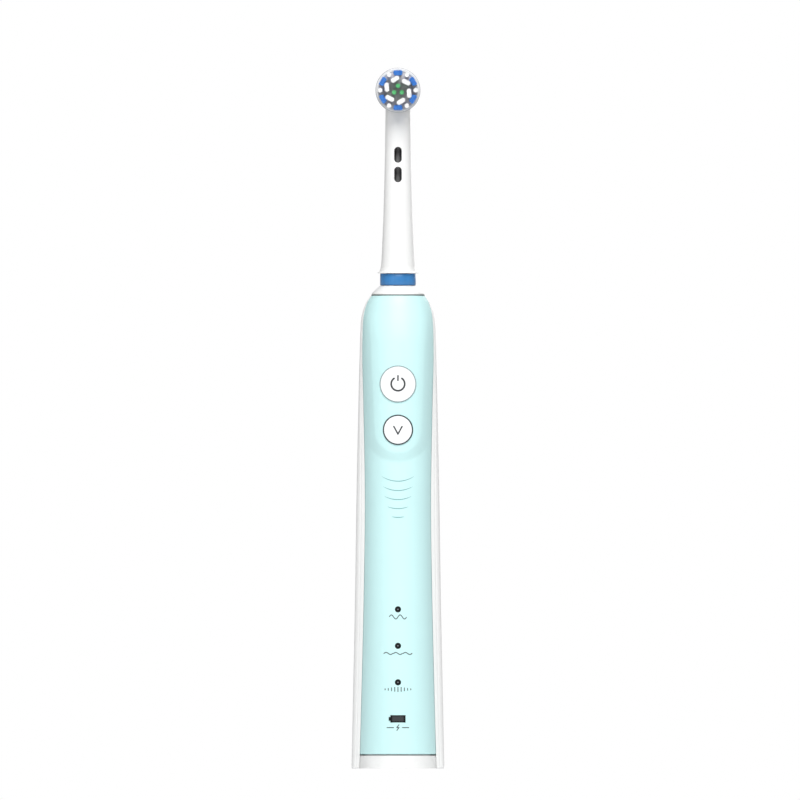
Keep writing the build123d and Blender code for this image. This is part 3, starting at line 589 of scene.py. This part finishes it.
def lip_turn(z, shrink):
    """Angle by which the back shell wraps round to the cover's edge at a height."""
    half = at_height(z, HALF) - shrink
    lip = LIP_DEPTH - shrink
    wide = (half / (cover_half_width(z) + SEAM)) ** 2
    deep = (lip / (at_height(z, FRONT) + SEAM)) ** 2
    if wide <= 1:
        return 0.0
    return asin(sqrt(min(1.0, max(0.0, (wide - 1) / (wide - deep)))))


def rib_height(x, z):
    """Low, slightly curved finger ribs on the back, shorter towards both ends of the group."""
    level = (RIB_TOP - z + RIB_BOW * x * x) / RIB_PITCH
    number = min(max(round(level), 0), RIB_COUNT - 1)
    off = (level - number) * RIB_PITCH / RIB_HALF
    across = x / (RIB_REACH - RIB_SHORTER * abs(number - RIB_COUNT // 2))
    if abs(off) >= 1 or abs(across) >= 1:
        return 0.0
    return RIB_HEIGHT * (1 - off ** 2) ** 2 * (1 - across ** 6)


def shell_turns(z, shrink):
    """Angles round the white shell: one lip, the rear half, then the other lip."""
    lip = max(0.02, lip_turn(z, shrink))
    steps = [lip * (1 - k / LIP_COLUMNS) for k in range(LIP_COLUMNS)]
    rear = [pi * (k / REAR_COLUMNS - 0.5) for k in range(REAR_COLUMNS + 1)]
    return [-pi / 2 - step for step in steps] + rear + [pi / 2 + step for step in reversed(steps)]


def shell_line(z, shrink, ribs):
    """Points round the white shell at a height, with a shallow groove along both side strips."""
    half, back = at_height(z, HALF) - shrink, at_height(z, BACK) - shrink
    last = 2 * LIP_COLUMNS + REAR_COLUMNS
    line = []
    for k, t in enumerate(shell_turns(z, shrink)):
        rear = LIP_COLUMNS <= k <= LIP_COLUMNS + REAR_COLUMNS
        depth = back if rear else LIP_DEPTH - shrink
        if rear and ribs:
            depth += rib_height(half * sin(t), z)
        dip = STRIP_GROOVE if k in (STRIP_COLUMN, last - STRIP_COLUMN) else 0.0
        line.append(((half - dip) * sin(t), (depth - dip) * cos(t), z))
    return line


def make_back_shell():
    """White sides and back, with the finger ribs."""
    ribbed = [RIB_TOP + RIBBED_ABOVE - RIBBED_STEP * k for k in range(RIBBED_ROWS)]
    low, high = ribbed[-1] - RIBBED_CLEAR, ribbed[0] + RIBBED_CLEAR
    plain = [z for z in heights(0.0, HANDLE_TOP, REAR_STEP, EDGE_ROUND) if not low < z < high]
    rows = sorted(ribbed + plain)
    outer = [shell_line(z, corner_inset(z, 0.0, HANDLE_TOP, EDGE_ROUND), True) for z in rows]
    inner = [shell_line(z, SHELL_WALL, False) for z in rows]
    shell = new_piece("back_shell_skin", *thick_skin(outer, inner), "handle", WHITE)
    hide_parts("back_shell")


# ---- controls on the handle -----------------------------------------------------------------
def button_y(x, z):
    """Place of a button cap's front along Y: it follows the panel's curve, a little proud of it."""
    return front_y(x, z) - BUTTON_PROUD


def make_button(name, radius, centre_z, body, node):
    """A cap with a rounded rim and its skirt in the cover's hole."""
    rings = [radius * (k / 16) for k in range(1, 16)]
    rings += [radius - BUTTON_ROUND * (1 - sin(pi / 2 * k / 5)) for k in range(0, 6)]
    around = 128
    verts = [(0, button_y(0, centre_z), centre_z)]
    for r in rings:
        over = max(0.0, r - (radius - BUTTON_ROUND))
        drop = BUTTON_ROUND - sqrt(max(0.0, BUTTON_ROUND ** 2 - over ** 2))
        verts += [(x, button_y(x, z) + drop, z) for x, z in circle(r, 0, centre_z, around)]
    verts += [(x, button_y(x, z) + BUTTON_SKIRT, z) for x, z in circle(radius, 0, centre_z, around)]
    verts.append((0, button_y(0, centre_z) + BUTTON_FLOOR, centre_z))
    faces = [(0, 1 + s, 1 + (s + 1) % around) for s in range(around)]
    faces += grid_faces(len(rings) + 1, around, True, 1)
    last = 1 + len(rings) * around
    faces += [(last + s, len(verts) - 1, last + (s + 1) % around) for s in range(around)]
    cap = new_piece(name, verts, faces, body, BUTTON, 60)
    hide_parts(node)


def make_button_outlines():
    # the power button's pale outline is painted shade of the gap round the cap; the mode button's dark ring
    # is print
    ring = circle(POWER_R - POWER_LINE / 2, 0, POWER_Z, 96)
    ribbon("power_button_gap_shade", ring, POWER_LINE, button_y, "power_button", GAP_SHADE_INK, closed=True)
    ring = circle(MODE_R - MODE_LINE / 2, 0, MODE_Z, 96)
    ribbon("mode_button_outline", ring, MODE_LINE, button_y, "mode_button", RING_INK, closed=True)


def make_power_icon():
    """The power symbol: a ring open at the top, with a bar through the gap."""
    radius, gap, line = 2.32, radians(35), 0.6
    arc = circle(radius, 0, POWER_Z, 48, pi / 2 + gap, 2 * pi - 2 * gap)
    ribbon("power_icon_ring", arc, line, button_y, "power_button", INK)
    high, low, line = 2.8, 1.2, 0.52
    bar = [(0, POWER_Z + high), (0, POWER_Z + low)]
    ribbon("power_icon_bar", bar, line, button_y, "power_button", INK)


def make_mode_icon():
    """A single chevron that points down."""
    half, high, low, line = 1.42, 1.15, 1.45, 0.48
    for side, word in ((-1, "left"), (1, "right")):
        stroke = [(side * half, MODE_Z + high), (0, MODE_Z - low)]
        ribbon(f"mode_icon_{word}", stroke, line, button_y, "mode_button", INK)


def domed_disc(name, radius, centre_z, material, proud):
    """A small round window, slightly domed, let into the cover."""
    around, rings, depth = 40, 6, 1.2
    verts = [(0, front_y(0, centre_z) - proud, centre_z)]
    for k in range(1, rings + 1):
        r = radius * sin(pi / 2 * k / rings)
        fall = proud * (1 - cos(pi / 2 * k / rings))
        verts += [(x, front_y(x, z) - proud + fall, z) for x, z in circle(r, 0, centre_z, around)]
    verts += [(x, front_y(x, z) + depth, z) for x, z in circle(radius, 0, centre_z, around)]
    faces = [(0, 1 + s, 1 + (s + 1) % around) for s in range(around)]
    faces += grid_faces(rings + 1, around, True, 1)
    faces.append(tuple(range(1 + rings * around, 1 + (rings + 1) * around)))
    return new_piece(name, verts, faces, "handle", material, 50)


def make_lenses():
    lens_dome, dot_r, dot_dome = 0.05, 0.26, 0.115
    for number, z in enumerate(LENS_Z, 1):
        lens = domed_disc(f"indicator_window_{number}", LENS_R, z, LENS, lens_dome)
        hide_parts(f"mode_lens_{number}")
        domed_disc(f"indicator_dot_{number}", dot_r, z, LENS_DOT, dot_dome)


def make_charge_window():
    """Battery-shaped window, with a paler pane in its middle."""
    skin = front_y(0, CHARGE_Z)
    window = prism_y("charge_window", charge_outline(0), skin - 0.04, skin + 2.0, "handle", LENS)
    bevel(window, 0.12)
    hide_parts("charge_lens")
    half, high = 1.95, 0.85
    pane = [(x, CHARGE_Z + z) for x, z in ((-half, -high), (half, -high), (half, high), (-half, high))]
    prism_y("charge_pane", pane, skin - 0.06, skin + 1, "handle", PANE)


def make_grip_lines():
    """Five smile-shaped lines of painted shade under the panel, for the shaded side of fine ridges; each
    lower one shorter.
    """
    bottoms = (98.4, 95.2, 92.1, 89.0, 86.0)
    spreads = (5.5, 5.0, 4.6, 3.6, 2.2)
    bend = 10.0
    for number, (low, spread) in enumerate(zip(bottoms, spreads), 1):
        steps = [spread * (k / 12 - 1) for k in range(25)]
        path = [(x, low + bend - sqrt(bend ** 2 - x ** 2)) for x in steps]
        ribbon(f"grip_ridge_shade_{number}", path, MARK_LINE, front_y, "handle", GRIP_SHADE, taper=True)


def make_pictograms():
    """Wordless marks under the windows: a steady wave, a gentle wave, a pulsing row, and a bolt."""
    steady, gentle, pulse, charge = PICTOGRAM_Z
    strokes = [("mark_steady", [(x, steady + 0.7 * sin(2.1 * x)) for x in np.linspace(-2.9, 2.9, 41)])]
    for k, start in enumerate((-4.8, -1.5, 1.8)):
        path = [(start + t, gentle + 0.35 * sin(2 * pi * t / 3.0)) for t in np.linspace(0, 3.0, 17)]
        strokes.append((f"mark_gentle_{k + 1}", path))
    for k in range(9):
        tall = 0.15 + 0.6 * sin(pi * (k + 0.5) / 9) ** 2
        x = -4.4 + 1.1 * k
        strokes.append((f"mark_pulse_{k + 1}", [(x, pulse - tall), (x, pulse + tall)]))
    for k, (x0, x1) in enumerate(((-3.7, -1.5), (1.5, 3.7))):
        strokes.append((f"mark_charge_{k + 1}", [(x0, charge), (x1, charge)]))
    bolt = [(0.35, charge + 0.95), (-0.45, charge - 0.05), (0.4, charge + 0.05), (-0.35, charge - 0.95)]
    strokes.append(("mark_bolt", bolt))
    for name, path in strokes:
        ribbon(name, path, MARK_LINE, front_y, "handle", MARK_INK)


# ---- collar and coloured ring ---------------------------------------------------------------
def make_collar():
    """White ring that closes the top of the handle."""
    profile = [
        (7.3, 159.6), (7.3, COLLAR_LOW), (8.72, COLLAR_LOW), (8.86, 162.36), (8.9, 162.5), (8.82, 162.8),
        (8.6, 163.1), (8.35, 163.3), (7.9, 163.72), (7.3, 164.3), (6.7, 164.85), (6.3, 165.15),
        (6.0, 165.3), (5.7, COLLAR_TOP), (4.1, COLLAR_TOP), (3.95, 165.3), (3.9, 165.1), (3.9, 160.6),
    ]
    collar = lathe("collar_skin", profile, "handle", WHITE)
    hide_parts("collar")


def make_collar_gasket():
    """Grey seal in the gap between the handle and the collar."""
    low, high = HANDLE_TOP - 0.1, COLLAR_LOW + 0.02
    profile = [(7.3, low), (9.1, low), (9.15, low + 0.2), (9.1, high), (7.3, high)]
    lathe("collar_gasket", profile, "handle", GASKET)


def make_id_ring():
    """Blue ring at the foot of the brush head."""
    low, high, r = RING_LOW, RING_HIGH, RING_R
    groove = r - 0.16
    profile = [
        (RING_BORE, low), (groove, low), (groove, low + 0.22), (r - 0.04, low + 0.24), (r, low + 0.3),
        (r, high - 0.24), (r - 0.04, high - 0.18), (groove, high - 0.16), (groove, high), (RING_BORE, high),
    ]
    ring = lathe("colour_ring", profile, "brush_head", BLUE)
    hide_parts("id_ring")


def make_ring_edge_shades():
    """Painted shade: a thin darker blue band in the groove at each end of the coloured ring."""
    inner, outer = 5.4, RING_R - 0.05
    bands = (("ring_edge_shade_low", RING_LOW + 0.01, RING_LOW + 0.2),
             ("ring_edge_shade_high", RING_HIGH - 0.14, RING_HIGH - 0.01))
    for name, z0, z1 in bands:
        profile = [(inner, z0), (outer, z0), (RING_R - 0.02, (z0 + z1) / 2), (outer, z1), (inner, z1)]
        lathe(name, profile, "brush_head", RING_SHADE_BLUE)


# ---- neck of the brush head -----------------------------------------------------------------
def neck_radius(z):
    """Outer radius of the neck at a height, straight between the marks."""
    return float(np.interp(z, [mark[0] for mark in NECK_MARKS], [mark[1] for mark in NECK_MARKS]))


def head_half_width(z):
    """Half-width of neck and head: the neck swells softly into the round head, then closes over it."""
    lift = min(1.0, max(-1.0, (z - DISC_Z) / CUP_R))
    chord = CUP_R * sqrt(max(0.0, 1 - lift ** 2))
    if z >= DISC_Z:
        return max(chord, 0.02)
    neck, soft = neck_radius(z), SHOULDER_SOFT
    gap = chord - neck
    swell = 0.5 * (gap + sqrt(gap * gap + soft * soft))
    width = neck + swell - 0.5 * (sqrt(neck * neck + soft * soft) - neck)
    return max(width, 0.02)


def head_section(z, count=96):
    """Outline of the neck or head at a height, from a circle to a rounded box as it rises."""
    blend = smooth((z - SHOULDER_Z) / SHOULDER_SPAN)
    neck, width = neck_radius(z), head_half_width(z)
    front = (1 - blend) * -neck + blend * CUP_FRONT
    rear = (1 - blend) * neck + blend * CUP_REAR
    above = z - (DISC_Z + CUP_R) + CROWN_ROUND
    if above > 0:
        rear -= CROWN_ROUND - sqrt(max(0.0, CROWN_ROUND ** 2 - above ** 2))
    power = 2 / (2 + CUP_SQUARENESS * blend)
    middle, depth = (front + rear) / 2, (rear - front) / 2
    line = []
    for k in range(count):
        c, s = cos(2 * pi * k / count), sin(2 * pi * k / count)
        x = width * (abs(c) ** power) * (1 if c >= 0 else -1)
        y = middle + depth * (abs(s) ** power) * (1 if s >= 0 else -1)
        line.append((x, y, z))
    return line


def make_neck():
    """White neck and head in one, with its bore, its cup for the bristle disc and two windows."""
    # close rows at the lip, wide ones along the neck, close ones at the shoulder and over the crown
    rows = [169.6, 169.64, 169.7, 169.8, 169.88, 169.96, 170.1, 170.3, 170.6]
    rows += [171.0, 171.5, 172.0, 173.0, 174.0]
    rows += [176 + 2.0 * k for k in range(22)] + [219 + 0.5 * k for k in range(26)]
    rows += [DISC_Z + CUP_R * sin(pi / 2 * k / 24) for k in range(1, 25)]
    count = 96
    verts = [p for z in rows for p in head_section(z, count)]
    faces = grid_faces(len(rows), count, True)
    faces.append(tuple(reversed(range(count))))
    faces.append(tuple((len(rows) - 1) * count + k for k in range(count)))
    neck = new_piece("neck_skin", verts, faces, "brush_head", WHITE)
    axis, bottom, top = 0.001, 168.0, 229.0
    bore = [(axis, bottom), (3.9, bottom), (3.9, 184.4), (3.4, 196.0), (3.0, 206.0), (2.95, top), (axis, top)]
    cutters = [lathe("bore", bore, None, WHITE, 64)]
    cutters.append(prism_y("cup", circle(CUP_BORE, 0, DISC_Z, 96), CUP_FRONT - 2, CUP_BACK))
    cutters += [prism_y("window", window_outline(low, high, 0), -9, 0) for low, high in NECK_WINDOWS]
    cut(neck, cutters)
    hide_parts("neck_sleeve")


def window_outline(low, high, shrink):
    """Upright slot with round ends."""
    half = WINDOW_HALF - shrink
    top = circle(half, 0, high - WINDOW_HALF, 24, 0, pi)
    return top + circle(half, 0, low + WINDOW_HALF, 24, pi, pi)


def make_window_shade_tube():
    """Painted shade inside the neck: a dark half tube behind the drive rod, seen through the two windows."""
    outer_r, inner_r = 2.9, 2.7
    turns = [pi * (k / 32 * 1.3 - 0.15) for k in range(33)]
    outer, inner = [], []
    for z in (199.0, 206.5, 214.5):
        outer.append([(outer_r * cos(t), outer_r * sin(t), z) for t in turns])
        inner.append([(inner_r * cos(t), inner_r * sin(t), z) for t in turns])
    new_piece("window_shade_tube", *thick_skin(outer, inner), "brush_head", BLACK_AND_SHADE)


def make_window_edge_shade(name, low, high):
    """Painted shade round the edge of one neck window: a dark strip all but flush with the neck's skin."""
    gap, proud, depth = 0.01, 0.02, 1.2
    verts = []
    for shrink in (gap, WINDOW_SHADE_WIDTH):
        for x, z in window_outline(low, high, shrink):
            front = -sqrt(neck_radius(z) ** 2 - x ** 2) - proud
            verts += [(x, front, z), (x, front + depth, z)]
    count = len(verts) // 4
    faces = []
    for k in range(count):
        a, b = 2 * k, 2 * ((k + 1) % count)
        c, d = a + 2 * count, b + 2 * count
        faces += [(a, b, d, c), (a + 1, c + 1, d + 1, b + 1), (a, a + 1, b + 1, b), (c, d, d + 1, c + 1)]
    new_piece(name, verts, faces, "brush_head", BLACK_AND_SHADE, 50)


# ---- bristle disc ---------------------------------------------------------------------------
def make_rim():
    """Soft translucent rim round the bristle plate, with a rounded front edge, and a grey band of painted
    shade round its outside.
    """
    back, front = DISC_BACK, DISC_FRONT - 0.35
    inner = DISC_R - 0.2
    lip = [
        (PLATE_R, back), (inner, back), (inner, front + 0.2), (inner - 0.06, front + 0.06),
        (inner - 0.2, front), (LIP_R + 0.12, front), (LIP_R, front + 0.12), (LIP_R, DISC_FRONT + 0.1),
        (PLATE_R, DISC_FRONT + 0.1),
    ]
    rim = ring_y("plate_rim", lip, RIM)
    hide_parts("disc_rim")
    # grey band round the rim's outside: painted shade of its rounded edge
    band = [
        (inner - 0.02, back), (DISC_R - 0.1, back), (DISC_R, back - 0.1), (DISC_R, front + 0.75),
        (DISC_R - 0.05, front + 0.68), (inner - 0.02, front + 0.62),
    ]
    ring_y("rim_shade_band", band, RIM_EDGE_SHADE)


def tuft_outline(length, width, shrink):
    """Stadium or circle, round the tuft's own centre, in the plate's plane."""
    run = (length - width) / 2
    radius = width / 2 - shrink
    if run <= 0:
        return circle(radius, count=24)
    right = circle(radius, run, 0, 12, -pi / 2, pi)
    left = circle(radius, -run, 0, 12, pi / 2, pi)
    return right + left


def arc_outline(length, width, shrink, ring):
    """Block bent along the ring, with rounded ends; the ring's centre is below the tuft."""
    half = (length - width * 0.55) / 2 / ring
    corner = width / 2 - shrink
    outline = []
    for end, first in ((half, -pi / 2), (-half, pi / 2)):
        for k in range(10):
            a = first + pi * k / 9
            u = max(-1.0, min(1.0, 1.25 * sin(a)))
            along = max(0.0, cos(a)) * 0.5 if end > 0 else -max(0.0, -cos(a)) * 0.5
            bend = end + along * (width * 0.55) / ring
            r = ring + u * corner
            outline.append((r * sin(bend), r * cos(bend) - ring))
    return outline


def inside(outline, x, z):
    """Whether a point lies inside a closed outline."""
    hit = False
    for (x0, z0), (x1, z1) in zip(outline, outline[1:] + outline[:1]):
        if (z0 > z) != (z1 > z) and x < x0 + (z - z0) * (x1 - x0) / (z1 - z0):
            hit = not hit
    return hit


def turned(x, z, centre, turn):
    """A point of a tuft's own plan, turned and moved to the tuft's place on the plate."""
    return centre[0] + x * cos(turn) - z * sin(turn), centre[1] + x * sin(turn) + z * cos(turn)


def add_core(verts, faces, core, centre, turn, tip):
    """Dense middle of one tuft, a little shorter than its filaments."""
    base, corners = len(verts), len(core)
    plan = [turned(x, z, centre, turn) for x, z in core]
    for y in (FILAMENT_FOOT, tip + CORE_SHORT):
        verts += [(px, y, DISC_Z + pz) for px, pz in plan]
    faces += grid_faces(2, corners, True, base)
    faces += [tuple(reversed(range(base, base + corners))), tuple(range(base + corners, base + 2 * corners))]


def add_filaments(verts, faces, shape, centre, turn, tip):
    """Filaments on a slightly uneven triangular grid, wherever one fits inside the tuft's shape."""
    near, jitter, lean = FILAMENT_R * 0.9, FILAMENT_JITTER, FILAMENT_LEAN
    for row in range(-20, 21):
        for col in range(-20, 21):
            x = FILAMENT_PITCH * (col + 0.5 * (row % 2)) + random.uniform(-jitter, jitter)
            z = FILAMENT_PITCH * 0.866 * row + random.uniform(-jitter, jitter)
            edges = ((x + near, z), (x - near, z), (x, z + near), (x, z - near))
            if not all(inside(shape, ex, ez) for ex, ez in edges):
                continue
            px, pz = turned(x, z, centre, turn)
            end = tip + random.uniform(0.0, FILAMENT_UNEVEN)
            outwards = (px - centre[0], pz - centre[1])
            splay = [random.uniform(-lean, lean) + FILAMENT_SPLAY * way for way in outwards]
            add_filament(verts, faces, px, DISC_Z + pz, end, splay)


def add_filament(verts, faces, x, z, tip, splay):
    """One nylon filament: a six-sided stalk with a rounded tip, leaning a little outwards."""
    sides = 6
    base = len(verts)
    levels = [(FILAMENT_FOOT, 1.0), (tip + 0.9, 1.0), (tip + 0.25, 0.97), (tip + 0.07, 0.7)]
    for y, size in levels:
        lean = (FILAMENT_FOOT - y) / (FILAMENT_FOOT - tip)
        for s in range(sides):
            turn = 2 * pi * s / sides
            px = x + splay[0] * lean * lean + FILAMENT_R * size * cos(turn)
            pz = z + splay[1] * lean * lean + FILAMENT_R * size * sin(turn)
            verts.append((px, y, pz))
    verts.append((x + splay[0], tip, z + splay[1]))
    faces += grid_faces(len(levels), sides, True, base)
    last = base + (len(levels) - 1) * sides
    faces += [(last + s, last + (s + 1) % sides, len(verts) - 1) for s in range(sides)]
    faces.append(tuple(reversed(range(base, base + sides))))


def make_tufts(name, node, material, count, first, ring, length, width, lean, tip, arc=False):
    """Every tuft of one kind: a dense core and a coat of single filaments with uneven tips."""
    random.seed(node)
    verts, faces = [], []
    if arc:
        shape, core = (arc_outline(length, width, shrink, ring) for shrink in (-TUFT_GROW, CORE_SHRINK))
    else:
        shape, core = (tuft_outline(length, width, shrink) for shrink in (-TUFT_GROW, CORE_SHRINK))
    for k in range(count):
        angle = radians(first + 360 / count * k)
        turn = angle - pi / 2 if arc else angle + pi / 2 + radians(lean)
        centre = (ring * cos(angle), ring * sin(angle))
        add_core(verts, faces, core, centre, turn, tip)
        add_filaments(verts, faces, shape, centre, turn, tip)
    tufts = new_piece(name, verts, faces, "bristle_disc", material, 40)
    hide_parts(node)


def make_bristles():
    """The four kinds: number of tufts, first angle, ring radius, length, width, lean and tip."""
    make_tufts("filaments_white_round", "tufts_white_round", NYLON_WHITE,
               6, 0, 6.1, 1.7, 1.7, 0, -12.9)
    make_tufts("filaments_blue", "tufts_blue", NYLON_BLUE,
               6, 30, 6.05, 3.0, 1.7, 0, -12.7, arc=True)
    make_tufts("filaments_white_oblong", "tufts_white_oblong", NYLON_WHITE,
               6, 45, 3.95, 3.3, 1.75, 18, -12.5)
    make_tufts("filaments_green", "tufts_green", NYLON_GREEN,
               3, 90, 1.5, 1.6, 1.6, 0, -12.1)


# ---- the whole scene ------------------------------------------------------------------------
dress_cad_nodes()
make_camera()
for light in LIGHTS:
    area_light(*light)
make_world()
make_floor()

make_front_cover()
make_back_shell()
make_button("power_button_cap", POWER_R, POWER_Z, "power_button", "power_button")
make_button("mode_button_cap", MODE_R, MODE_Z, "mode_button", "mode_button")
make_button_outlines()
make_power_icon()
make_mode_icon()
make_lenses()
make_charge_window()
make_grip_lines()
make_pictograms()

make_collar()
make_collar_gasket()
make_id_ring()
make_ring_edge_shades()
make_neck()
make_window_shade_tube()
for number, (low, high) in enumerate(NECK_WINDOWS, 1):
    make_window_edge_shade(f"window_edge_shade_{number}", low, high)
make_rim()
make_bristles()
